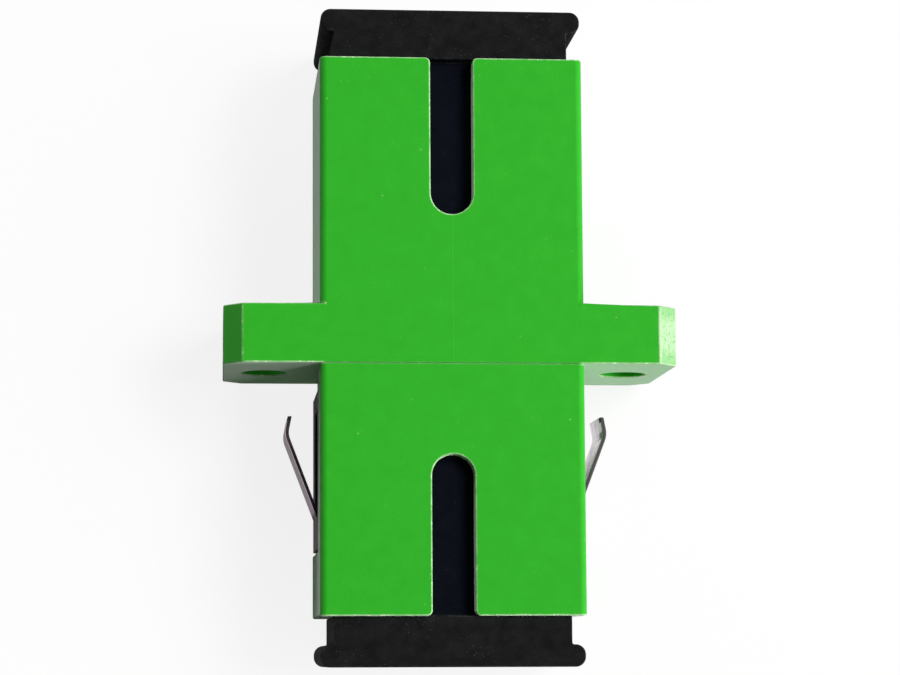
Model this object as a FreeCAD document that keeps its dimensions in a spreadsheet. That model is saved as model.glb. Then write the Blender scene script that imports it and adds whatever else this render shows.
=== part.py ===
import FreeCAD, Part

import os
from types import SimpleNamespace

import Sketcher

# Frame: the optical axis is Y, the key slots face +Z and the screw holes lie along X.
# The origin is on the optical axis, halfway between the two port mouths.

# Driving dimensions in millimetres: name, value, what it sets
SIZES = (
    ("body_length", 27.2, "port mouth to port mouth"),
    ("body_edge_radius", 0.35, "long outer edges of the body"),
    ("port_width", 9.1, "port opening across the latch sides"),
    ("port_height", 7.5, "port opening across the key side"),
    ("port_lead_in", 0.25, "chamfer round the port mouth"),
    ("latch_side_wall", 0.775, "wall outside the latch channel"),
    ("key_side_wall", 0.9, "wall with the key slot, and the wall opposite"),
    ("flange_thickness", 2.88, "along the optical axis"),
    ("flange_corner_chamfer", 0.92, "four corners of the flange"),
    ("flange_hole_pitch", 18.0, "screw hole to screw hole"),
    ("flange_hole_diameter", 2.3, "plain screw hole"),
    ("flange_end", 2.075, "from a screw hole's middle to the flange's end"),
    ("key_slot_width", 2.08, "slot for the plug's key"),
    ("key_slot_length", 7.75, "from the mouth to the round end"),
    ("key_slot_mouth_radius", 0.25, "rounded corners at the slot's mouth"),
    ("plate_side_margin", 0.1, "receptacle plate beyond its latch arms"),
    ("plate_key_margin", 0.15, "receptacle plate beyond the port opening"),
    ("plate_proud", 0.46, "receptacle plate beyond the flange's face"),
    ("plate_corner_radius", 0.3, "corners of the receptacle plate"),
    ("plate_clearance", 0.05, "between plate and housing, each side"),
    ("dowel_diameter", 0.9, "peg that lines up the two receptacles"),
    ("dowel_length", 0.6, "peg above the plate's back"),
    ("dowel_side_inset", 1.6, "peg's middle to the plate's latch side"),
    ("dowel_key_inset", 1.2, "peg's middle to the plate's key side"),
    ("dowel_clearance", 0.05, "between peg and hole"),
    ("holder_wall", 0.65, "tube wall of the sleeve holder"),
    ("holder_lip_clearance", 0.2, "between the ferrule and the lip that keeps the sleeve in"),
    ("holder_lip_thickness", 0.6, "end wall of the sleeve holder"),
    ("holder_lead_in", 0.35, "countersink that guides the ferrule"),
    ("sleeve_bore", 2.5, "ferrule bore of the split sleeve"),
    ("sleeve_wall", 0.35, "wall of the split sleeve"),
    ("sleeve_length", 11.4, "split sleeve along the optical axis"),
    ("sleeve_slit", 0.4, "width of the slit"),
    ("sleeve_clearance", 0.05, "radial float in the holder"),
    ("sleeve_end_clearance", 0.1, "float at each end of the sleeve"),
    ("sleeve_edge_chamfer", 0.12, "inner edge at both ends of the sleeve"),
    ("latch_length", 9.2, "from the middle of the body to the arm's tip"),
    ("latch_width", 3.0, "arm across the key side"),
    ("latch_thickness", 0.75, "arm across the latch side"),
    ("latch_hook_height", 0.65, "hook that catches the plug"),
    ("latch_hook_length", 1.35, "hook with its ramp"),
    ("latch_hook_crest", 0.35, "flat top of the hook"),
    ("latch_flex_gap", 0.35, "room behind the arm"),
    ("latch_side_gap", 0.25, "room beside the arm"),
    ("latch_tip_gap", 0.8, "room past the arm's tip"),
    ("clip_sheet", 0.2, "spring steel thickness"),
    ("clip_bend_radius", 0.3, "inside radius of the two corner bends"),
    ("clip_clearance", 0.02, "between clip and housing"),
    ("clip_inset", 0.02, "clip's outside below the housing's surface"),
    ("clip_drop", 0.95, "from the flange's lower face to the clip"),
    ("clip_length", 7.85, "clip along the optical axis"),
    ("clip_front", 1.95, "front edge of the arms, from the middle of the depth"),
    ("clip_edge_gap", 0.15, "between the clip's edges and its recess"),
    ("clip_head_strip", 0.91, "arm between its upper edge and the window"),
    ("clip_foot_strip", 1.37, "arm between the wing's root and its lower edge"),
    ("wing_width", 3.4, "wing across its free edge"),
    ("wing_centre", 0.6, "middle of the wing, behind the middle of the depth"),
    ("wing_slot", 0.1, "lancing slot each side of the wing"),
    ("wing_tip_gap", 0.39, "from the window's upper edge down to the wing's tip"),
    ("wing_tip_length", 0.88, "from the wing's tip down to its bend"),
    ("wing_bend_reach", 1.64, "from the arm's outside to the wing's bend"),
    ("wing_tip_reach", 1.465, "from the arm's outside to the wing's tip"),
    ("wing_bend_radius", 0.9, "inside radius of the wing's bend"),
    ("nub_gap", 0.34, "from the window's upper edge down to the locking nub"),
    ("nub_length", 1.5, "locking nub along the optical axis"),
    ("nub_ramp", 1.0, "locking nub across the depth"),
    ("nub_height", 0.2, "locking nub above the recess"),
    ("cap_head", 2.45, "cap outside the port"),
    ("cap_depth_inset", 0.35, "from the body's key side in to the cap"),
    ("cap_neck_inset", 0.7, "from the body's latch side in to the cap's neck"),
    ("cap_bead_inset", 0.05, "from the body's latch side in to the finger bead"),
    ("cap_bead_thickness", 1.08, "finger bead along the optical axis"),
    ("cap_bead_radius", 0.49, "rounding of the finger bead"),
    ("cap_root_radius", 0.1, "corner between bead and neck"),
    ("cap_end_wall", 1.1, "closed end of the cap"),
    ("cap_wall", 0.8, "wall of the cap's plug"),
    ("cap_clearance", 0.08, "between the cap's plug and the port"),
    ("cap_plug_depth", 8.0, "cap's plug inside the port"),
    ("cap_plug_chamfer", 0.3, "leading edge of the cap's plug"),
    ("cap_hook_gap", 0.25, "round each latch hook in the cap's notches"),
)

UP = 1
DOWN = -1
NEAR = 1e-4


class Length:
    """A length that knows its value and the formula that gives it in the sheet."""

    def __init__(self, value, formula):
        self.value = value
        self.formula = formula

    def __add__(self, other):
        return Length(self.value + other.value, f"({self.formula} + {other.formula})")

    def __sub__(self, other):
        return Length(self.value - other.value, f"({self.formula} - {other.formula})")

    def __mul__(self, factor):
        return Length(self.value * factor, f"({self.formula} * {factor})")

    def __truediv__(self, divisor):
        return Length(self.value / divisor, f"({self.formula} / {divisor})")

    def __neg__(self):
        return self * -1


ZERO = Length(0.0, "0")


def add_sizes(document):
    """Put the driving dimensions into the spreadsheet and hand them out by name."""
    sheet = document.addObject("Spreadsheet::Sheet", "Sizes")
    for row, (name, value, meaning) in enumerate(SIZES, start=1):
        sheet.set(f"A{row}", name)
        sheet.set(f"B{row}", str(value))
        sheet.set(f"C{row}", meaning)
        sheet.setAlias(f"B{row}", name)
    document.recompute()
    return SimpleNamespace(**{name: Length(value, f"Sizes.{name}") for name, value, _ in SIZES})


def new_body(document, name):
    """Start the body of one piece, under the name of its node."""
    body = document.addObject("PartDesign::Body", name)
    body.Label = name
    return body


def new_sketch(body, name, role, offset=None):
    """Add a sketch on one of the body's origin planes, moved along the plane's normal."""
    sketch = body.newObject("Sketcher::SketchObject", name)
    plane = next(feature for feature in body.Origin.OriginFeatures if feature.Role == role)
    sketch.AttachmentSupport = [(plane, "")]
    sketch.MapMode = "FlatFace"
    if offset is not None:
        sketch.setExpression("AttachmentOffset.Base.z", offset.formula)
    return sketch


def cross_sketch(body, name, side, distance):
    """Add a sketch across the optical axis, at a distance on the upper or lower side."""
    return new_sketch(body, name, "XZ_Plane", distance * -side)


def dimension(sketch, name, length, *reference):
    """Add a named dimension to a sketch and bind it to the sheet."""
    index = sketch.addConstraint(Sketcher.Constraint(*reference, length.value))
    sketch.renameConstraint(index, name)
    sketch.setExpression(f"Constraints.{name}", length.formula)


def polygon(sketch, corners):
    """Draw a closed outline through corners, each an (across, along) pair of lengths."""
    first = sketch.GeometryCount
    spots = [FreeCAD.Vector(across.value, along.value, 0) for across, along in corners]
    for start, end in zip(spots, spots[1:] + spots[:1]):
        sketch.addGeometry(Part.LineSegment(start, end), False)
    for number, (across, along) in enumerate(corners):
        line = first + number
        following = first + (number + 1) % len(corners)
        sketch.addConstraint(Sketcher.Constraint("Coincident", line, 2, following, 1))
        dimension(sketch, f"across{line}", across, "DistanceX", -1, 1, line, 1)
        dimension(sketch, f"along{line}", along, "DistanceY", -1, 1, line, 1)


def rectangle(sketch, width, height):
    """Draw a rectangle centred on the sketch's origin."""
    right = width / 2
    top = height / 2
    polygon(sketch, [(-right, -top), (right, -top), (right, top), (-right, top)])


def circle(sketch, diameter, across, along):
    """Draw a circle of a given diameter round a point."""
    centre = FreeCAD.Vector(across.value, along.value, 0)
    normal = FreeCAD.Vector(0, 0, 1)
    index = sketch.addGeometry(Part.Circle(centre, normal, diameter.value / 2), False)
    dimension(sketch, f"across{index}", across, "DistanceX", -1, 1, index, 3)
    dimension(sketch, f"along{index}", along, "DistanceY", -1, 1, index, 3)
    dimension(sketch, f"diameter{index}", diameter, "Diameter", index)


def pad(body, name, sketch, length, reverse=False, symmetric=False):
    """Raise a sketch along its normal, against it, or both ways."""
    feature = body.newObject("PartDesign::Pad", name)
    feature.Profile = sketch
    feature.setExpression("Length", length.formula)
    feature.SideType = "Symmetric" if symmetric else "One side"
    feature.Reversed = reverse
    body.Document.recompute()
    return feature


def pocket(body, name, sketch, length=None, reverse=False, symmetric=False):
    """Cut a sketch against its normal, or along it when reversed, and see that it cuts."""
    before = body.Shape.Volume
    feature = body.newObject("PartDesign::Pocket", name)
    feature.Profile = sketch
    feature.SideType = "Symmetric" if symmetric else "One side"
    feature.Reversed = reverse
    if length is None:
        feature.Type = "ThroughAll"
    else:
        feature.setExpression("Length", length.formula)
    body.Document.recompute()
    if feature.Shape.Volume > before - NEAR:
        raise RuntimeError(f"{name} cuts nothing")
    return feature


def pad_outward(body, name, sketch, length, side):
    """Raise a cross sketch away from the middle of the body."""
    return pad(body, name, sketch, length, reverse=side == UP)


def pocket_outward(body, name, sketch, side, length=None):
    """Cut a cross sketch away from the middle of the body."""
    return pocket(body, name, sketch, length, reverse=side == DOWN)


def near(value, target):
    """Say whether two plain numbers are the same length."""
    return abs(value - target) < NEAR


def edge_names(shape, chosen):
    """Name the edges of a shape whose middle and direction a rule accepts."""
    names = []
    for number, edge in enumerate(shape.Edges, start=1):
        middle = (edge.FirstParameter + edge.LastParameter) / 2
        if chosen(edge.valueAt(middle), edge.tangentAt(middle)):
            names.append(f"Edge{number}")
    return names


def runs_along(direction, axis):
    """Say whether a unit direction lies along X, Y or Z."""
    return abs(getattr(direction, axis)) > 1 - NEAR


def lies_along_axis(middle, direction):
    """Accept the edges that run along the optical axis."""
    return runs_along(direction, "y")


def dress(body, kind, name, setting, length, chosen):
    """Add a fillet or chamfer to the edges of the body that a rule accepts."""
    base = body.Tip
    feature = body.newObject(f"PartDesign::{kind}", name)
    feature.Base = (base, edge_names(base.Shape, chosen))
    feature.setExpression(setting, length.formula)
    body.Document.recompute()
    return feature


def fillet(body, name, radius, chosen):
    """Round the edges of the body that a rule accepts."""
    return dress(body, "Fillet", name, "Radius", radius, chosen)


def chamfer(body, name, width, chosen):
    """Bevel the edges of the body that a rule accepts."""
    return dress(body, "Chamfer", name, "Size", width, chosen)


def layout(size):
    """Work out the sizes and places that pieces share, from the driving dimensions."""
    latch_inside = size.port_width / 2
    latch_outside = latch_inside + size.latch_thickness
    channel_side = latch_outside + size.latch_flex_gap
    half_width = channel_side + size.latch_side_wall
    half_depth = size.port_height / 2 + size.key_side_wall
    flange_face = size.flange_thickness / 2
    sleeve_diameter = size.sleeve_bore + size.sleeve_wall * 2
    holder_bore = sleeve_diameter + size.sleeve_clearance * 2
    holder_seat = size.sleeve_length / 2 + size.sleeve_end_clearance
    recess_depth = size.clip_sheet + size.clip_clearance + size.clip_inset
    clip_top = flange_face + size.clip_drop
    clip_end = clip_top + size.clip_length
    window_top = clip_top + size.clip_head_strip
    wing_tip = window_top + size.wing_tip_gap
    return SimpleNamespace(
        mouth=size.body_length / 2,
        half_width=half_width,
        half_depth=half_depth,
        flange_face=flange_face,
        flange_end=size.flange_hole_pitch / 2 + size.flange_end,
        latch_inside=latch_inside,
        latch_outside=latch_outside,
        channel_side=channel_side,
        channel_end=size.latch_length + size.latch_tip_gap,
        plate_side=latch_outside + size.plate_side_margin,
        plate_key_side=size.port_height / 2 + size.plate_key_margin,
        plate_face=flange_face + size.plate_proud,
        sleeve_diameter=sleeve_diameter,
        holder_bore=holder_bore,
        holder_diameter=holder_bore + size.holder_wall * 2,
        holder_seat=holder_seat,
        holder_tip=holder_seat + size.holder_lip_thickness,
        lip_bore=size.sleeve_bore + size.holder_lip_clearance * 2,
        recess_side=half_width - recess_depth,
        recess_rear=half_depth - recess_depth,
        recess_front=size.clip_front + size.clip_edge_gap,
        recess_end=clip_end + size.clip_edge_gap,
        clip_top=clip_top,
        clip_side=half_width - size.clip_inset,
        clip_rear=half_depth - size.clip_inset,
        window_top=window_top,
        wing_tip=wing_tip,
        wing_bend=wing_tip + size.wing_tip_length,
        wing_root=clip_end - size.clip_foot_strip,
        wing_front=size.wing_width / 2 - size.wing_centre,
        plug_width=size.port_width - size.cap_clearance * 2,
        plug_height=size.port_height - size.cap_clearance * 2,
    )


def cut_port(body, side, size, place, seam):
    """Cut the plate's seat, the latch channels, the port and the key slot of one half."""
    seat = cross_sketch(body, "PlateSeatSketch", side, seam)
    play = size.plate_clearance
    rectangle(seat, (place.plate_side + play) * 2, (place.plate_key_side + play) * 2)
    pocket_outward(body, "PlateSeat", seat, side, place.plate_face - seam)

    channel = cross_sketch(body, "LatchChannelSketch", side, seam)
    rectangle(channel, place.channel_side * 2, size.latch_width + size.latch_side_gap * 2)
    pocket_outward(body, "LatchChannel", channel, side, place.channel_end - seam)

    port = cross_sketch(body, "PortSketch", side, place.plate_face)
    rectangle(port, size.port_width, size.port_height)
    pocket_outward(body, "Port", port, side)

    def round_mouth(middle, direction):
        return (near(abs(middle.y), place.mouth.value)
                and abs(middle.x) < size.port_width.value / 2 + NEAR
                and abs(middle.z) < size.port_height.value / 2 + NEAR)

    chamfer(body, "PortLeadIn", size.port_lead_in, round_mouth)
    cut_key_slot(body, side, size, place)


def cut_key_slot(body, side, size, place):
    """Cut the round-ended slot through the wall that faces +Z, open at the mouth."""
    half = size.key_slot_width / 2
    end_centre = place.mouth - size.key_slot_length + half
    past_mouth = place.mouth + half
    slot = new_sketch(body, "KeySlotSketch", "XY_Plane")
    polygon(slot, [(-half, end_centre * side), (half, end_centre * side),
                   (half, past_mouth * side), (-half, past_mouth * side)])
    pocket(body, "KeySlot", slot, reverse=True)
    end = new_sketch(body, "KeySlotEndSketch", "XY_Plane")
    circle(end, size.key_slot_width, ZERO, end_centre * side)
    pocket(body, "KeySlotEnd", end, reverse=True)

    def at_slot_mouth(middle, direction):
        return (runs_along(direction, "z") and near(abs(middle.x), half.value)
                and near(abs(middle.y), place.mouth.value))

    fillet(body, "KeySlotMouth", size.key_slot_mouth_radius, at_slot_mouth)


def build_upper_housing(document, size, place):
    """Moulded half with the flange, down to the flange's lower face."""
    body = new_body(document, "upper_housing")
    outline = new_sketch(body, "OutlineSketch", "XY_Plane")
    polygon(outline, [
        (-place.flange_end, -place.flange_face), (place.flange_end, -place.flange_face),
        (place.flange_end, place.flange_face), (place.half_width, place.flange_face),
        (place.half_width, place.mouth), (-place.half_width, place.mouth),
        (-place.half_width, place.flange_face), (-place.flange_end, place.flange_face)])
    pad(body, "Outline", outline, place.half_depth * 2, symmetric=True)

    def at_flange_corner(middle, direction):
        return runs_along(direction, "y") and near(abs(middle.x), place.flange_end.value)

    def at_body_corner(middle, direction):
        return runs_along(direction, "y") and near(abs(middle.x), place.half_width.value)

    chamfer(body, "FlangeCorners", size.flange_corner_chamfer, at_flange_corner)
    fillet(body, "OuterEdges", size.body_edge_radius, at_body_corner)

    holes = cross_sketch(body, "ScrewHolesSketch", DOWN, place.flange_face)
    for hand in (-1, 1):
        circle(holes, size.flange_hole_diameter, size.flange_hole_pitch / 2 * hand, ZERO)
    pocket_outward(body, "ScrewHoles", holes, UP)
    cut_port(body, UP, size, place, -place.flange_face)
    return body


def build_lower_housing(document, size, place):
    """Moulded half below the flange, with the recess and nubs that hold the clip."""
    body = new_body(document, "lower_housing")
    section = cross_sketch(body, "SectionSketch", DOWN, place.flange_face)
    rectangle(section, place.half_width * 2, place.half_depth * 2)
    pad_outward(body, "Section", section, place.mouth - place.flange_face, DOWN)
    fillet(body, "OuterEdges", size.body_edge_radius, lies_along_axis)
    cut_clip_recess(body, size, place)
    cut_port(body, DOWN, size, place, place.flange_face)
    return body


def cut_clip_recess(body, size, place):
    """Sink the rear and the two sides by the clip's thickness, and leave the locking nubs."""
    outside = place.half_width + size.body_edge_radius
    behind = place.half_depth + size.body_edge_radius
    recess = cross_sketch(body, "ClipRecessSketch", DOWN, place.flange_face)
    polygon(recess, [
        (-outside, place.recess_front), (-outside, -behind),
        (outside, -behind), (outside, place.recess_front),
        (place.recess_side, place.recess_front), (place.recess_side, -place.recess_rear),
        (-place.recess_side, -place.recess_rear), (-place.recess_side, place.recess_front)])
    pocket_outward(body, "ClipRecess", recess, DOWN, place.recess_end - place.flange_face)

    def at_recess_corner(middle, direction):
        return (runs_along(direction, "y") and near(abs(middle.x), place.recess_side.value)
                and near(middle.z, -place.recess_rear.value))

    fillet(body, "ClipRecessCorners", size.clip_bend_radius - size.clip_clearance, at_recess_corner)

    foot = place.recess_side - size.clip_clearance
    crest = place.recess_side + size.nub_height
    nubs = cross_sketch(body, "LockingNubsSketch", DOWN, place.window_top + size.nub_gap)
    for hand in (-1, 1):
        polygon(nubs, [
            (foot * hand, place.wing_front), (crest * hand, place.wing_front),
            (place.recess_side * hand, place.wing_front - size.nub_ramp),
            (foot * hand, place.wing_front - size.nub_ramp)])
    pad_outward(body, "LockingNubs", nubs, size.nub_length, DOWN)


def build_receptacle(document, name, side, size, place):
    """Inner moulding with plate, sleeve holder, latch arms, dowel and dowel hole."""
    body = new_body(document, name)
    plate = cross_sketch(body, "PlateSketch", side, ZERO)
    rectangle(plate, place.plate_side * 2, place.plate_key_side * 2)
    pad_outward(body, "Plate", plate, place.plate_face, side)
    fillet(body, "PlateCorners", size.plate_corner_radius, lies_along_axis)

    holder = cross_sketch(body, "HolderSketch", side, ZERO)
    circle(holder, place.holder_diameter, ZERO, ZERO)
    pad_outward(body, "Holder", holder, place.holder_tip, side)
    add_latch_arms(body, side, size, place)

    seat = cross_sketch(body, "SleeveSeatSketch", side, ZERO)
    circle(seat, place.holder_bore, ZERO, ZERO)
    pocket_outward(body, "SleeveSeat", seat, side, place.holder_seat)
    lip = cross_sketch(body, "HolderLipSketch", side, ZERO)
    circle(lip, place.lip_bore, ZERO, ZERO)
    pocket_outward(body, "HolderLip", lip, side)

    def at_lip_mouth(middle, direction):
        return (near(abs(middle.y), place.holder_tip.value)
                and near((middle.x ** 2 + middle.z ** 2) ** 0.5, place.lip_bore.value / 2))

    chamfer(body, "HolderLeadIn", size.holder_lead_in, at_lip_mouth)
    add_dowel(body, side, size, place)
    return body


def add_latch_arms(body, side, size, place):
    """Add the two spring arms, each with an inward hook that has a square back."""
    hook_back = size.latch_length - size.latch_hook_length
    crest = place.latch_inside - size.latch_hook_height
    arms = new_sketch(body, "LatchArmsSketch", "XY_Plane")
    for hand in (-1, 1):
        polygon(arms, [(across * hand, along * side) for across, along in (
            (place.latch_outside, place.plate_face / 2),
            (place.latch_outside, size.latch_length),
            (place.latch_inside, size.latch_length),
            (crest, hook_back + size.latch_hook_crest),
            (crest, hook_back),
            (place.latch_inside, hook_back),
            (place.latch_inside, place.plate_face / 2))])
    pad(body, "LatchArms", arms, size.latch_width, symmetric=True)


def add_dowel(body, side, size, place):
    """Add a peg and, straight across the axis, the hole for the other moulding's peg."""
    across = (place.plate_side - size.dowel_side_inset) * side
    up = place.plate_key_side - size.dowel_key_inset
    hole = cross_sketch(body, "DowelHoleSketch", side, ZERO)
    circle(hole, size.dowel_diameter + size.dowel_clearance * 2, -across, up)
    pocket_outward(body, "DowelHole", hole, side, size.dowel_length + size.dowel_clearance)
    peg = cross_sketch(body, "DowelSketch", side, ZERO)
    circle(peg, size.dowel_diameter, across, up)
    pad_outward(body, "Dowel", peg, size.dowel_length, -side)


def build_alignment_sleeve(document, size, place):
    """Split sleeve: a thin tube with one slit along its whole length."""
    body = new_body(document, "alignment_sleeve")
    ring = new_sketch(body, "RingSketch", "XZ_Plane")
    circle(ring, place.sleeve_diameter, ZERO, ZERO)
    circle(ring, size.sleeve_bore, ZERO, ZERO)
    pad(body, "Ring", ring, size.sleeve_length, symmetric=True)

    def at_bore_mouth(middle, direction):
        return (near(abs(middle.y), size.sleeve_length.value / 2)
                and near((middle.x ** 2 + middle.z ** 2) ** 0.5, size.sleeve_bore.value / 2))

    chamfer(body, "BoreEdges", size.sleeve_edge_chamfer, at_bore_mouth)
    half_slit = size.sleeve_slit / 2
    slit = new_sketch(body, "SlitSketch", "XZ_Plane")
    polygon(slit, [(-half_slit, ZERO), (half_slit, ZERO),
                   (half_slit, place.sleeve_diameter), (-half_slit, place.sleeve_diameter)])
    pocket(body, "Slit", slit, symmetric=True)
    return body


def build_panel_clip(document, size, place):
    """One folded sheet: a rear base, two side arms and a lanced wing on each arm."""
    body = new_body(document, "panel_clip")
    side = place.clip_side
    rear = place.clip_rear
    sheet = size.clip_sheet
    channel = cross_sketch(body, "ChannelSketch", DOWN, place.clip_top)
    polygon(channel, [
        (-side, size.clip_front), (-side, -rear), (side, -rear), (side, size.clip_front),
        (side - sheet, size.clip_front), (side - sheet, sheet - rear),
        (sheet - side, sheet - rear), (sheet - side, size.clip_front)])
    pad_outward(body, "Channel", channel, size.clip_length, DOWN)

    def at_inner_bend(middle, direction):
        return (runs_along(direction, "y") and near(abs(middle.x), (side - sheet).value)
                and near(middle.z, (sheet - rear).value))

    def at_outer_bend(middle, direction):
        return (runs_along(direction, "y") and near(abs(middle.x), side.value)
                and near(middle.z, -rear.value))

    fillet(body, "InnerBends", size.clip_bend_radius, at_inner_bend)
    fillet(body, "OuterBends", size.clip_bend_radius + sheet, at_outer_bend)
    add_wings(body, size, place)
    return body


def add_wings(body, size, place):
    """Lance a window in each arm and raise its wing from the window's lower edge."""
    window_front = place.wing_front + size.wing_slot
    window_rear = place.wing_front - size.wing_width - size.wing_slot
    window = new_sketch(body, "WindowSketch", "YZ_Plane")
    polygon(window, [(-place.wing_root, window_rear), (-place.window_top, window_rear),
                     (-place.window_top, window_front), (-place.wing_root, window_front)])
    pocket(body, "Windows", window, symmetric=True)

    sheet = size.clip_sheet
    root_side = place.clip_side
    bend_side = place.clip_side + size.wing_bend_reach
    tip_side = place.clip_side + size.wing_tip_reach
    wings = new_sketch(body, "WingsSketch", "XY_Plane", -size.wing_centre)
    for hand in (-1, 1):
        polygon(wings, [(across * hand, -drop) for across, drop in (
            (root_side, place.wing_root), (bend_side, place.wing_bend), (tip_side, place.wing_tip),
            (tip_side - sheet, place.wing_tip), (bend_side - sheet, place.wing_bend),
            (root_side - sheet, place.wing_root))])
    pad(body, "Wings", wings, size.wing_width, symmetric=True)

    def at_bend(reach):
        return lambda middle, direction: (
            runs_along(direction, "z") and near(abs(middle.x), reach.value)
            and near(middle.y, -place.wing_bend.value))

    fillet(body, "WingInnerBends", size.wing_bend_radius, at_bend(bend_side - sheet))
    fillet(body, "WingOuterBends", size.wing_bend_radius + sheet, at_bend(bend_side))


def build_dust_cap(document, name, side, size, place):
    """Hollow cap: a head with two finger beads and a plug that fills the port."""
    body = new_body(document, name)
    neck = place.half_width - size.cap_neck_inset
    bead = place.half_width - size.cap_bead_inset
    end = place.mouth + size.cap_head
    bead_root = end - size.cap_bead_thickness
    head = new_sketch(body, "HeadSketch", "XY_Plane")
    polygon(head, [(across, along * side) for across, along in (
        (-neck, place.mouth), (neck, place.mouth), (neck, bead_root), (bead, bead_root),
        (bead, end), (-bead, end), (-bead, bead_root), (-neck, bead_root))])
    pad(body, "Head", head, (place.half_depth - size.cap_depth_inset) * 2, symmetric=True)

    def at_bead(middle, direction):
        return runs_along(direction, "z") and near(abs(middle.x), bead.value)

    def at_bead_root(middle, direction):
        return (runs_along(direction, "z") and near(abs(middle.x), neck.value)
                and near(abs(middle.y), bead_root.value))

    fillet(body, "Beads", size.cap_bead_radius, at_bead)
    fillet(body, "BeadRoots", size.cap_root_radius, at_bead_root)

    inner_end = place.mouth - size.cap_plug_depth
    plug = cross_sketch(body, "PlugSketch", side, inner_end)
    rectangle(plug, place.plug_width, place.plug_height)
    pad_outward(body, "Plug", plug, size.cap_plug_depth, side)

    def at_leading_edge(middle, direction):
        return near(abs(middle.y), inner_end.value)

    chamfer(body, "PlugLeadIn", size.cap_plug_chamfer, at_leading_edge)
    hollow = cross_sketch(body, "HollowSketch", side, inner_end)
    rectangle(hollow, place.plug_width - size.cap_wall * 2, place.plug_height - size.cap_wall * 2)
    pocket_outward(body, "Hollow", hollow, side, end - size.cap_end_wall - inner_end)

    notches = cross_sketch(body, "HookNotchesSketch", side, inner_end)
    rectangle(notches, size.port_width, size.latch_width + size.cap_hook_gap * 2)
    pocket_outward(body, "HookNotches", notches, side, size.latch_length + size.cap_hook_gap - inner_end)
    return body


def check(document):
    """Stop when an object of the document has failed."""
    for item in document.Objects:
        if "Invalid" in item.State or "Error" in item.State:
            raise RuntimeError(f"{item.Name} failed: {item.State}")


def export(body):
    """Write one piece to its file, once its shape is sound."""
    shape = body.Shape
    if shape.isNull() or not shape.isValid() or len(shape.Solids) != 1:
        raise RuntimeError(f"{body.Label} has no single valid solid")
    shape.exportStep(f"parts/{body.Label}.step")
    print(body.Label, round(shape.Volume, 4), shape.BoundBox)


def main():
    """Build every piece, then write them all."""
    os.makedirs("parts", exist_ok=True)
    document = FreeCAD.newDocument("fibre_adapter")
    size = add_sizes(document)
    place = layout(size)
    pieces = [
        build_upper_housing(document, size, place),
        build_lower_housing(document, size, place),
        build_receptacle(document, "upper_receptacle", UP, size, place),
        build_receptacle(document, "lower_receptacle", DOWN, size, place),
        build_alignment_sleeve(document, size, place),
        build_panel_clip(document, size, place),
        build_dust_cap(document, "upper_dust_cap", UP, size, place),
        build_dust_cap(document, "lower_dust_cap", DOWN, size, place),
    ]
    document.recompute()
    check(document)
    for body in pieces:
        export(body)


main()
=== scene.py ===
"""Looks of the fibre adapter: finished meshes, materials, light, floor and camera."""

import math

import bmesh
import bpy
from mathutils import Matrix, Vector


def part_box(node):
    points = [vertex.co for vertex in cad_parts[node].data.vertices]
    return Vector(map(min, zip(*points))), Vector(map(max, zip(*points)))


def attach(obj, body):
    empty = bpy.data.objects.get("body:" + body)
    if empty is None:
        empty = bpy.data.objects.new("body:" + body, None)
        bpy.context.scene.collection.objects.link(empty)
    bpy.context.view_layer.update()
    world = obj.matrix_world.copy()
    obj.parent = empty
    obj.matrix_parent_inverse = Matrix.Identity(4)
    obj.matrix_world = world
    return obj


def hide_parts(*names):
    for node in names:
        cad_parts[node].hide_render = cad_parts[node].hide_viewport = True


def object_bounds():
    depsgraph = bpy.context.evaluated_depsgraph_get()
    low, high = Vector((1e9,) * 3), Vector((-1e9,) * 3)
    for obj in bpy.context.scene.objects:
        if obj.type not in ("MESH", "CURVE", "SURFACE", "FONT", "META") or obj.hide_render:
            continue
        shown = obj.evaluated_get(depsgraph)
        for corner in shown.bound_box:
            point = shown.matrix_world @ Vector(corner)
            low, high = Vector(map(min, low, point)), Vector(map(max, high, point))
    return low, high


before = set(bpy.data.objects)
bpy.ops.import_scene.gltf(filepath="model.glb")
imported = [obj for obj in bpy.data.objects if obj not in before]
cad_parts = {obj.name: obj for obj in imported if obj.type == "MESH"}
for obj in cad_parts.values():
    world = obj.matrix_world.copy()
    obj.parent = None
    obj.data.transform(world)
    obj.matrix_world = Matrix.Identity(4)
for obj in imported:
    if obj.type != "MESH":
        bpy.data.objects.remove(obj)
cad_low, cad_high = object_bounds()

MM = 0.001

# Places on the part, from its centre, in metres
FLANGE_FACE = -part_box("upper_housing")[0][1]
FLANGE_END, MOUTH, FRONT_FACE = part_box("upper_housing")[1]
BODY_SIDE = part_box("lower_housing")[1][0]
FLANGE_CHAMFER = 0.92 * MM
SLOT_END = 5.85 * MM
CLIP_BASE = -4.3 * MM
ARM_SIDE = 6.405 * MM
WING_ROOT = 7.0 * MM
WING_TIP = -3.69 * MM
WING_FRONT = 1.1 * MM

# Widths of the rounded edges, in metres
HOUSING_EDGE = 0.085 * MM
CAP_EDGE = 0.08 * MM
RECEPTACLE_EDGE = 0.04 * MM
CLIP_EDGE = 0.04 * MM
SLEEVE_EDGE = 0.02 * MM

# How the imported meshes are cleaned, rounded and shaded
SAME_POINT = 0.0005 * MM
FLAT_TURN = math.radians(0.5)
ROUNDED_TURN = math.radians(40.0)
CREASED_TURN = math.radians(50.0)

# Colours of the green housings, linear red, green and blue
GREEN = (0.025, 0.412, 0.016)
LIGHT_GREEN = (0.030, 0.442, 0.020)
DEEP_GREEN = (0.020, 0.372, 0.013)
SPECK_GREEN = (0.30, 0.68, 0.25)
WELD_GREEN = (0.09, 0.52, 0.07)
WORN_GREEN = (0.52, 0.80, 0.42)
CHIPPED_GREEN = (0.86, 0.92, 0.76)
# Painted highlight for the right front chamfer
HIGHLIGHT_GREEN = (0.50, 0.68, 0.43)
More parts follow.
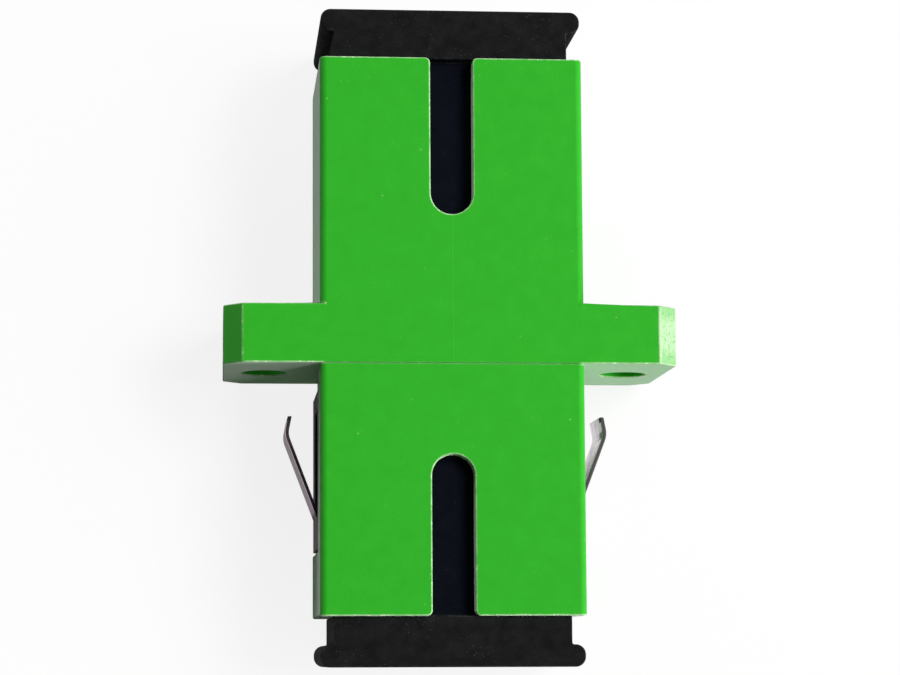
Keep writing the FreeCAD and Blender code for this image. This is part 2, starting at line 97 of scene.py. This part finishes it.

# Colours of the black caps: painted shade inside the ports, darker and bluer, and the caps' own
# black outside them
PORT_SHADE_BLACK = (0.0036, 0.0044, 0.0085)
PORT_SHADE_LIGHT_BLACK = (0.0054, 0.0062, 0.0115)
BLACK = (0.0080, 0.0080, 0.0085)
LIGHT_BLACK = (0.0150, 0.0150, 0.0155)
DUST_GREY = (0.085, 0.085, 0.088)
SCUFF_GREY = (0.07, 0.07, 0.075)
WORN_GREY = (0.08, 0.08, 0.085)

# Colours of the spring steel: its own two, then a painted dark reflection, stains, painted shade
# and painted glints
STEEL = (0.76, 0.67, 0.74)
LIGHT_STEEL = (0.93, 0.85, 0.91)
DARK_REFLECTION_STEEL = (0.20, 0.165, 0.183)
STAIN_AND_SHADE_STEEL = (0.10, 0.07, 0.09)
ARM_SHADE_STEEL = (0.095, 0.083, 0.088)
EDGE_SHADE_STEEL = (0.020, 0.015, 0.018)
MOTTLED_SHADE_STEEL = (0.13, 0.10, 0.115)
GLINT_STEEL = (0.72, 0.53, 0.66)

# Tints of the steel's reflection at a grazing angle: plain, a near-black one that is painted shade,
# and a pale one for the painted glints
FULL_TINT = (1.0, 1.0, 1.0)
SHADE_TINT = (0.045, 0.036, 0.041)
GLINT_TINT = (1.0, 0.9, 1.0)

# Colours of the hidden pieces
NATURAL_WHITE = (0.66, 0.645, 0.58)
LIGHT_WHITE = (0.73, 0.715, 0.65)
FLOW_WHITE = (0.56, 0.53, 0.45)
CERAMIC = (0.80, 0.78, 0.72)
LIGHT_CERAMIC = (0.88, 0.87, 0.82)

# Floor and world, lengths in metres. Bounce is the floor's colour for the light that it throws on
# the part, and shade its colour for the camera. Glow is the share of the floor that shines by
# itself: it grows with the distance from the part, and the floor shines wholly at the horizon.
FLOOR_HALF = 1.5
FLOOR_BOUNCE = 0.12
FLOOR_SHADE = 0.9
NEAR_GLOW = 0.85
FAR_GLOW = 0.92
GLOW_START = 0.010
GLOW_END = 0.028
HORIZON_START = 0.06
HORIZON_END = 0.25
AMBIENT = 0.07
WHITE = (1.0, 1.0, 1.0, 1.0)

# The photograph's camera, fitted to the part's corners: place in metres and turns in degrees
IMAGE_WIDTH = 900
SENSOR_MM = 36.0
FOCAL_PIXELS = 2418.4
SHIFT_X_PIXELS = 60.0
SHIFT_Y_PIXELS = 80.0
CAMERA_PLACE = Vector((-11.343, -15.686, 120.0)) * MM
CAMERA_YAW = 4.107
CAMERA_PITCH = -5.721
CAMERA_ROLL = 0.188
CLIP_START = 0.01


class Nodes:
    """Short calls that add and join the nodes of one tree."""

    def __init__(self, tree):
        self.tree = tree

    def add(self, kind, **settings):
        node = self.tree.nodes.new(kind)
        for key, value in settings.items():
            setattr(node, key, value)
        return node

    def link(self, output, target):
        self.tree.links.new(output, target)

    def combine(self, operation, first, second=0.0):
        """Result of a math operation on one or two values, each a number or a socket."""
        node = self.add("ShaderNodeMath", operation=operation)
        for socket, value in zip(node.inputs, (first, second)):
            if isinstance(value, (int, float)):
                socket.default_value = value
            else:
                self.link(value, socket)
        return node.outputs["Value"]

    def times(self, first, second):
        return self.combine("MULTIPLY", first, second)

    def plus(self, first, second):
        return self.combine("ADD", first, second)

    def most(self, first, second):
        return self.combine("MAXIMUM", first, second)

    def unsigned(self, value):
        return self.combine("ABSOLUTE", value)

    def spread(self, value, low, high, to_low=0.0, to_high=1.0):
        """Map a varying value from one range to another, clamped."""
        node = self.add("ShaderNodeMapRange")
        node.inputs["From Min"].default_value = low
        node.inputs["From Max"].default_value = high
        node.inputs["To Min"].default_value = to_low
        node.inputs["To Max"].default_value = to_high
        self.link(value, node.inputs["Value"])
        return node.outputs["Result"]

    def pick(self, mask, off, on):
        """The number off where the mask is 0, going over to the number on where it is 1."""
        return self.spread(mask, 0.0, 1.0, off, on)

    def above(self, value, start, fade):
        """0 while value is under start, rising to 1 at start + fade."""
        return self.spread(value, start, start + fade)

    def below(self, value, end, fade):
        """1 while value is under end - fade, falling to 0 at end."""
        return self.spread(value, end - fade, end, 1.0, 0.0)

    def line(self, value, at, half_width):
        """1 where value equals at, falling to 0 at half_width from it."""
        offset = self.unsigned(self.combine("SUBTRACT", value, at))
        return self.below(offset, half_width, half_width)

    def mix_shaders(self, share, first, second):
        """A node that shows the second shader node where share is 1, and the first elsewhere."""
        mix = self.add("ShaderNodeMixShader")
        self.link(share, mix.inputs[0])
        self.link(first.outputs[0], mix.inputs[1])
        self.link(second.outputs[0], mix.inputs[2])
        return mix

    def seen(self):
        """1 for camera, glossy and transmission rays."""
        path = self.add("ShaderNodeLightPath").outputs
        direct = self.most(path["Is Camera Ray"], path["Is Glossy Ray"])
        return self.most(direct, path["Is Transmission Ray"])


class Shader(Nodes):
    """A material's nodes around one Principled shader."""

    def __init__(self, name):
        self.material = bpy.data.materials.new(name)
        self.material.use_nodes = True
        super().__init__(self.material.node_tree)
        self.bsdf = self.tree.nodes["Principled BSDF"]
        self.place = self.add("ShaderNodeTexCoord").outputs["Object"]

    def set(self, **values):
        """Give plain values to the Principled shader's sockets, spaces written as underscores."""
        for name, value in values.items():
            self.bsdf.inputs[name.replace("_", " ")].default_value = value

    def noise(self, size, detail=3.0, roughness=0.5, stretch=None):
        """Noise whose features are about size metres across."""
        node = self.add("ShaderNodeTexNoise")
        node.inputs["Scale"].default_value = 1.0 / size
        node.inputs["Detail"].default_value = detail
        node.inputs["Roughness"].default_value = roughness
        source = self.place
        if stretch is not None:
            mapping = self.add("ShaderNodeMapping")
            mapping.inputs["Scale"].default_value = stretch
            self.link(self.place, mapping.inputs["Vector"])
            source = mapping.outputs["Vector"]
        self.link(source, node.inputs["Vector"])
        return node.outputs["Fac"]

    def cells(self, size):
        """Distance to the nearest of many scattered points, in units of size.

        The points are about size metres apart.
        """
        node = self.add("ShaderNodeTexVoronoi")
        node.inputs["Scale"].default_value = 1.0 / size
        self.link(self.place, node.inputs["Vector"])
        return node.outputs["Distance"]

    def blend(self, factor, first, second):
        """Mix two colours, each a tuple or a socket."""
        node = self.add("ShaderNodeMix", data_type="RGBA")
        self.link(factor, node.inputs["Factor"])
        for name, value in (("A", first), ("B", second)):
            socket = [s for s in node.inputs if s.name == name and s.type == "RGBA"][0]
            if isinstance(value, tuple):
                socket.default_value = (*value, 1.0)
            else:
                self.link(value, socket)
        return [s for s in node.outputs if s.type == "RGBA"][0]

    def coat(self, colour, mask, share, paint):
        """The colour under a share of paint where the mask is 1."""
        return self.blend(self.times(mask, share), colour, paint)

    def axes(self, vector):
        """The three numbers of a vector."""
        node = self.add("ShaderNodeSeparateXYZ")
        self.link(vector, node.inputs["Vector"])
        return [node.outputs[name] for name in "XYZ"]

    def rims(self):
        """1 on rounded edges, 0 on the faces between them."""
        return self.add("ShaderNodeAttribute", attribute_name="edge").outputs["Fac"]

    def bump(self, height, distance, normal=None):
        node = self.add("ShaderNodeBump")
        node.inputs["Strength"].default_value = 1.0
        node.inputs["Distance"].default_value = distance
        self.link(height, node.inputs["Height"])
        if normal is not None:
            self.link(normal, node.inputs["Normal"])
        return node.outputs["Normal"]

    def finish(self, colour, roughness, normal):
        self.link(colour, self.bsdf.inputs["Base Color"])
        self.link(roughness, self.bsdf.inputs["Roughness"])
        self.link(normal, self.bsdf.inputs["Normal"])
        return self.material


def weld_line(s):
    """Thin line down the middle of the upper housing's front, from the flange to the slot."""
    x, y, z = s.axes(s.place)
    weld = s.line(x, 0.0, 0.035 * MM)
    weld = s.times(weld, s.below(y, SLOT_END, 0.4 * MM))
    weld = s.times(weld, s.above(y, -FLANGE_FACE, 0.4 * MM))
    return s.times(weld, s.above(z, FRONT_FACE - 0.35 * MM, 0.2 * MM))


def rubbed_rims(s):
    """Share of wear on the housings' rounded edges.

    It is nearly none along the seam, and less on the flange's upper rims and left end.
    """
    x, y, _ = s.axes(s.place)
    body = s.below(s.unsigned(x), BODY_SIDE - 0.1 * MM, 0.2 * MM)
    seam = s.times(s.spread(s.line(y, -FLANGE_FACE, 0.4 * MM), 0.0, 0.4), body)
    upper_rim = s.above(y, FLANGE_FACE - 0.25 * MM, 0.1 * MM)
    upper_rim = s.times(upper_rim, s.pick(body, 1.0, 0.0))
    left_end = s.below(x, FLANGE_CHAMFER - FLANGE_END + 0.2 * MM, 0.1 * MM)
    fresh = s.most(upper_rim, left_end)
    rim = s.times(s.rims(), s.pick(seam, 1.0, 0.08))
    return s.times(rim, s.pick(fresh, 1.0, 0.3))


def chamfer_painted_highlight(s):
    """Patches of painted highlight on the flange's right front chamfer, on the side of the low
    right lamp.
    """
    x, y, z = s.axes(s.place)
    chamfer = s.line(s.plus(x, z), FLANGE_END + FRONT_FACE - FLANGE_CHAMFER, 0.12 * MM)
    chamfer = s.spread(chamfer, 0.0, 0.3)
    middle = s.spread(s.unsigned(y), 0.55 * MM, 1.1 * MM, 1.0, 0.6)
    patches = s.spread(s.noise(0.16 * MM, detail=4.0, roughness=0.75), 0.32, 0.48)
    return s.times(s.times(chamfer, middle), patches)


def green_plastic():
    """Satin moulded green: soft mottle, pale specks, rubbed edges and a faint weld line."""
    s = Shader("housing_plastic")
    mottle = s.spread(s.noise(0.9 * MM, detail=4.0, roughness=0.6), 0.3, 0.7)
    colour = s.blend(mottle, GREEN, LIGHT_GREEN)
    grain = s.spread(s.noise(0.12 * MM, roughness=0.6), 0.55, 0.75)
    colour = s.coat(colour, grain, 0.35, DEEP_GREEN)
    specks = s.spread(s.cells(0.75 * MM), 0.05, 0.09, 1.0, 0.0)
    specks = s.times(specks, s.spread(s.noise(1.7 * MM, detail=2.0), 0.52, 0.62))
    colour = s.coat(colour, specks, 0.45, SPECK_GREEN)
    weld = weld_line(s)
    colour = s.coat(colour, weld, 0.2, WELD_GREEN)
    rim = rubbed_rims(s)
    worn = s.times(rim, s.spread(s.noise(0.45 * MM, roughness=0.7), 0.35, 0.6, 0.4, 1.0))
    colour = s.coat(colour, worn, 0.85, WORN_GREEN)
    chips = s.times(rim, s.spread(s.noise(0.22 * MM, detail=2.0, roughness=0.6), 0.6, 0.68))
    colour = s.blend(chips, colour, CHIPPED_GREEN)
    # Painted highlight, in patches, on the right front chamfer
    colour = s.coat(colour, chamfer_painted_highlight(s), 0.9, HIGHLIGHT_GREEN)
    roughness = s.spread(s.noise(0.3 * MM), 0.3, 0.7, 0.5, 0.62)
    waves = s.times(s.noise(1.2 * MM, detail=2.0), 1.5)
    skin = s.plus(s.noise(0.09 * MM, roughness=0.6), waves)
    normal = s.bump(skin, 0.006 * MM)
    normal = s.bump(weld, 0.004 * MM, normal)
    s.set(Specular_IOR_Level=0.06, Sheen_Weight=1.0, Sheen_Roughness=0.34)
    return s.finish(colour, roughness, normal)


def black_plastic():
    """Soft black moulding with painted shade inside the port, darker and bluer there, and fine pale
    dots and faint scuffs.
    """
    s = Shader("cap_plastic")
    _, y, _ = s.axes(s.place)
    mottle = s.spread(s.noise(0.7 * MM, detail=4.0, roughness=0.6), 0.3, 0.7)
    outside = s.above(s.unsigned(y), MOUTH - 0.1 * MM, 0.2 * MM)
    # Inside the port the colour is painted shade, a darker and bluer black
    port_shade = s.blend(mottle, PORT_SHADE_BLACK, PORT_SHADE_LIGHT_BLACK)
    colour = s.blend(outside, port_shade, s.blend(mottle, BLACK, LIGHT_BLACK))
    dots = s.spread(s.cells(0.2 * MM), 0.08, 0.2, 1.0, 0.0)
    dots = s.times(dots, s.spread(s.noise(1.6 * MM, roughness=0.7), 0.46, 0.62))
    colour = s.coat(colour, s.times(dots, outside), 0.5, DUST_GREY)
    scuff = s.noise(0.5 * MM, detail=4.0, roughness=0.7, stretch=(1.0, 9.0, 3.0))
    colour = s.coat(colour, s.spread(scuff, 0.62, 0.74), 0.25, SCUFF_GREY)
    worn = s.times(s.rims(), s.spread(s.noise(0.3 * MM, roughness=0.7), 0.4, 0.65))
    colour = s.coat(colour, worn, 0.4, WORN_GREY)
    roughness = s.spread(s.noise(0.25 * MM), 0.3, 0.7, 0.7, 0.85)
    normal = s.bump(s.noise(0.10 * MM, roughness=0.65), 0.010 * MM)
    s.set(Specular_IOR_Level=0.01)
    return s.finish(colour, roughness, normal)


def spring_steel():
    """Rolled stainless sheet, faint purple cast: painted shade on arms and cut edges, brighter
    wings.
    """
    s = Shader("spring_steel")
    x, y, z = s.axes(s.place)
    across, _, _ = s.axes(s.add("ShaderNodeTexCoord").outputs["Normal"])
    reach = s.unsigned(x)

    # Rolled faces: a painted dark reflection on their outer sides, stains heavier there, and
    # painted shade on the arms
    grain = s.noise(0.16 * MM, detail=4.0, roughness=0.6, stretch=(1.0, 0.08, 1.0))
    colour = s.blend(s.spread(grain, 0.3, 0.7), STEEL, LIGHT_STEEL)
    outer = s.spread(s.times(across, s.combine("SIGN", x)), 0.2, 0.5)
    colour = s.coat(colour, outer, 0.85, DARK_REFLECTION_STEEL)
    # Random stains, heavier on the outer faces, where they add to the painted dark reflection
    stain = s.spread(s.noise(0.5 * MM, roughness=0.6), 0.45, 0.65)
    colour = s.coat(colour, s.times(stain, s.pick(outer, 0.3, 1.0)), 0.3, STAIN_AND_SHADE_STEEL)
    # Painted shade on the arms, which lie along the body's sides
    arm = s.below(reach, ARM_SIDE + 0.25 * MM, 0.15 * MM)
    arm = s.times(arm, s.above(reach, ARM_SIDE - 0.45 * MM, 0.15 * MM))
    colour = s.coat(colour, arm, 0.85, ARM_SHADE_STEEL)

    # Painted shade, near black: cut edges, every rim on the right and the front corners of both
    # wings; mottled lighter on the left wing's edges
    left = s.below(x, 0.0, 1.0 * MM)
    sheared = s.spread(s.unsigned(across), 0.35, 0.6, 1.0, 0.0)
    sheared = s.times(sheared, s.above(z, CLIP_BASE, 0.1 * MM))
    sheared = s.most(sheared, s.times(s.rims(), s.pick(left, 1.0, 0.0)))
    tip = s.above(reach, WING_ROOT, 0.1 * MM)
    tip = s.times(tip, s.above(y, WING_TIP - 0.28 * MM, 0.06 * MM))
    tip = s.times(tip, s.above(z, WING_FRONT - 0.45 * MM, 0.1 * MM))
    dark = s.most(sheared, tip)
    left_mottle = s.spread(s.noise(0.14 * MM, roughness=0.7), 0.4, 0.6)
    left_mottle = s.times(s.below(x, -6.6 * MM, 0.2 * MM), left_mottle)
    colour = s.coat(colour, dark, 0.92, s.blend(left_mottle, EDGE_SHADE_STEEL, MOTTLED_SHADE_STEEL))

    # Painted glints on the rims on the left, weak on the arm and at the wing's front corner
    painted_glint = s.times(s.rims(), s.pick(s.most(arm, tip), 0.85, 0.05))
    painted_glint = s.times(painted_glint, left)
    colour = s.blend(painted_glint, colour, GLINT_STEEL)

    # Near-black reflection tint, as painted shade, and higher roughness on the shaded places, the
    # arms and partly the outer faces
    dull_and_shaded = s.most(dark, s.most(arm, s.times(outer, 0.6)))
    tint = s.blend(painted_glint, s.blend(dull_and_shaded, FULL_TINT, SHADE_TINT), GLINT_TINT)
    s.link(tint, s.bsdf.inputs["Specular Tint"])
    s.link(s.pick(dark, 1.0, 0.15), s.bsdf.inputs["Metallic"])
    rolled = s.noise(0.2 * MM, roughness=0.6, stretch=(1.0, 0.1, 1.0))
    roughness = s.most(s.spread(rolled, 0.3, 0.7, 0.24, 0.42), s.times(dull_and_shaded, 0.75))
    s.set(Specular_IOR_Level=0.2)
    return s.finish(colour, roughness, s.bump(grain, 0.004 * MM))


def white_plastic():
    """Natural white moulding of the receptacles, a little translucent in look."""
    s = Shader("receptacle_plastic")
    mottle = s.spread(s.noise(0.8 * MM, detail=4.0, roughness=0.6), 0.3, 0.7)
    colour = s.blend(mottle, NATURAL_WHITE, LIGHT_WHITE)
    flow = s.noise(0.9 * MM, detail=4.0, roughness=0.7, stretch=(1.0, 0.3, 1.0))
    colour = s.coat(colour, s.spread(flow, 0.6, 0.75), 0.3, FLOW_WHITE)
    roughness = s.spread(s.noise(0.3 * MM), 0.3, 0.7, 0.36, 0.5)
    normal = s.bump(s.noise(0.12 * MM, roughness=0.6), 0.006 * MM)
    s.set(Subsurface_Weight=0.12, Subsurface_Radius=(0.6 * MM, 0.55 * MM, 0.45 * MM))
    return s.finish(colour, roughness, normal)


def zirconia():
    """Ground ceramic of the split sleeve."""
    s = Shader("sleeve_ceramic")
    rings = s.noise(0.08 * MM, stretch=(1.0, 6.0, 1.0))
    colour = s.blend(s.spread(rings, 0.3, 0.7), CERAMIC, LIGHT_CERAMIC)
    roughness = s.spread(s.noise(0.2 * MM, detail=2.0), 0.3, 0.7, 0.12, 0.22)
    return s.finish(colour, roughness, s.bump(rings, 0.002 * MM))


def floor_paper():
    """White paper whose own glow hides most of its shading and leaves a soft shadow."""
    s = Shader("floor_paper")
    s.set(Roughness=0.9, Specular_IOR_Level=0.1)
    seen = s.seen()
    s.link(s.pick(seen, FLOOR_BOUNCE, FLOOR_SHADE), s.bsdf.inputs["Base Color"])
    length = s.add("ShaderNodeVectorMath", operation="LENGTH")
    s.link(s.place, length.inputs[0])
    distance = length.outputs["Value"]
    near = s.spread(distance, GLOW_START, GLOW_END, NEAR_GLOW, FAR_GLOW)
    horizon = s.spread(distance, HORIZON_START, HORIZON_END, 0.0, 1.0 - FAR_GLOW)
    glow = s.add("ShaderNodeEmission")
    glow.inputs["Color"].default_value = WHITE
    paper = s.mix_shaders(s.times(seen, s.plus(near, horizon)), s.bsdf, glow)
    s.link(paper.outputs[0], s.tree.nodes["Material Output"].inputs["Surface"])
    return s.material


def rounded_piece(node, body, width, material, segments=2):
    """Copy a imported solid's surface into a new piece whose sharp edges are rounded off."""
    mesh = bpy.data.meshes.new(f"{node}_finished")
    form = bmesh.new()
    form.from_mesh(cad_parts[node].data)
    bmesh.ops.remove_doubles(form, verts=form.verts, dist=SAME_POINT)
    bmesh.ops.dissolve_limit(form, angle_limit=FLAT_TURN, verts=form.verts, edges=form.edges)
    closed = [edge for edge in form.edges if len(edge.link_faces) == 2]
    sharp = [edge for edge in closed if edge.calc_face_angle(0.0) > ROUNDED_TURN]
    made = bmesh.ops.bevel(form, geom=sharp, offset=width, offset_type="OFFSET",
                           segments=segments, profile=0.5, affect="EDGES",
                           clamp_overlap=False, loop_slide=True)
    rounded = set(made["faces"])
    layer = form.verts.layers.float.new("edge")
    low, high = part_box(node)
    for vert in form.verts:
        limits = zip(vert.co, low, high)
        vert.co = [min(max(place, least), most) for place, least, most in limits]
        vert[layer] = 1.0 if all(face in rounded for face in vert.link_faces) else 0.0
    for face in form.faces:
        face.smooth = True
    form.to_mesh(mesh)
    form.free()
    mesh.set_sharp_from_angle(angle=CREASED_TURN)
    mesh.materials.append(material)
    piece = bpy.data.objects.new(f"{node}_finished", mesh)
    bpy.context.scene.collection.objects.link(piece)
    normals = piece.modifiers.new("weighted", "WEIGHTED_NORMAL")
    normals.keep_sharp = True
    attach(piece, body)
    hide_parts(node)


def add_lamp(name, place, size, watts):
    """Soft rectangular lamp aimed at the part, itself out of sight of the camera."""
    data = bpy.data.lights.new(name, "AREA")
    data.shape = "RECTANGLE"
    data.size, data.size_y = size
    data.energy = watts
    lamp = bpy.data.objects.new(name, data)
    lamp.location = place
    lamp.rotation_euler = (-Vector(place)).to_track_quat("-Z", "Y").to_euler()
    lamp.visible_camera = False
    bpy.context.scene.collection.objects.link(lamp)


def add_floor(height):
    """Pale floor under the part."""
    form = bmesh.new()
    bmesh.ops.create_grid(form, x_segments=8, y_segments=8, size=FLOOR_HALF)
    mesh = bpy.data.meshes.new("floor")
    form.to_mesh(mesh)
    form.free()
    mesh.materials.append(floor_paper())
    floor = bpy.data.objects.new("floor", mesh)
    floor.location.z = height
    bpy.context.scene.collection.objects.link(floor)


def set_world():
    """Weak even light on the part, and plain white where the world itself is seen."""
    world = bpy.data.worlds.new("studio")
    bpy.context.scene.world = world
    world.use_nodes = True
    nodes = Nodes(world.node_tree)
    ambient = nodes.tree.nodes["Background"]
    ambient.inputs["Color"].default_value = WHITE
    ambient.inputs["Strength"].default_value = AMBIENT
    backdrop = nodes.add("ShaderNodeBackground")
    backdrop.inputs["Color"].default_value = WHITE
    backdrop.inputs["Strength"].default_value = 1.0
    mix = nodes.mix_shaders(nodes.seen(), ambient, backdrop)
    nodes.link(mix.outputs[0], nodes.tree.nodes["World Output"].inputs["Surface"])


def set_camera():
    """The photograph's camera, in front of the key slots."""
    data = bpy.data.cameras.new("camera")
    data.sensor_width = SENSOR_MM
    data.lens = FOCAL_PIXELS / IMAGE_WIDTH * SENSOR_MM
    data.shift_x = SHIFT_X_PIXELS / IMAGE_WIDTH
    data.shift_y = SHIFT_Y_PIXELS / IMAGE_WIDTH
    data.clip_start = CLIP_START
    yaw = Matrix.Rotation(math.radians(-CAMERA_YAW), 4, "Y")
    pitch = Matrix.Rotation(math.radians(-CAMERA_PITCH), 4, "X")
    roll = Matrix.Rotation(math.radians(-CAMERA_ROLL), 4, "Z")
    turn = yaw @ pitch @ roll
    camera = bpy.data.objects.new("camera", data)
    camera.matrix_world = Matrix.Translation(CAMERA_PLACE) @ turn
    bpy.context.scene.collection.objects.link(camera)
    bpy.context.scene.camera = camera


green = green_plastic()
black = black_plastic()
steel = spring_steel()
white = white_plastic()
ceramic = zirconia()

rounded_piece("upper_housing", "adapter", HOUSING_EDGE, green, segments=3)
rounded_piece("lower_housing", "adapter", HOUSING_EDGE, green, segments=3)
rounded_piece("panel_clip", "adapter", CLIP_EDGE, steel)
rounded_piece("upper_receptacle", "adapter", RECEPTACLE_EDGE, white)
rounded_piece("lower_receptacle", "adapter", RECEPTACLE_EDGE, white)
rounded_piece("alignment_sleeve", "adapter", SLEEVE_EDGE, ceramic)
rounded_piece("upper_dust_cap", "upper_cap", CAP_EDGE, black, segments=3)
rounded_piece("lower_dust_cap", "lower_cap", CAP_EDGE, black, segments=3)

add_floor(cad_low.z)
set_world()
set_camera()
add_lamp("key", place=(0.20, 0.06, 0.345), size=(0.22, 0.18), watts=1.6)
add_lamp("low_right", place=(0.27, -0.18, 0.035), size=(0.36, 0.08), watts=1.05)
add_lamp("fill", place=(-0.08, 0.36, 0.10), size=(0.25, 0.16), watts=0.4)

bpy.context.scene.view_settings.view_transform = "Standard"
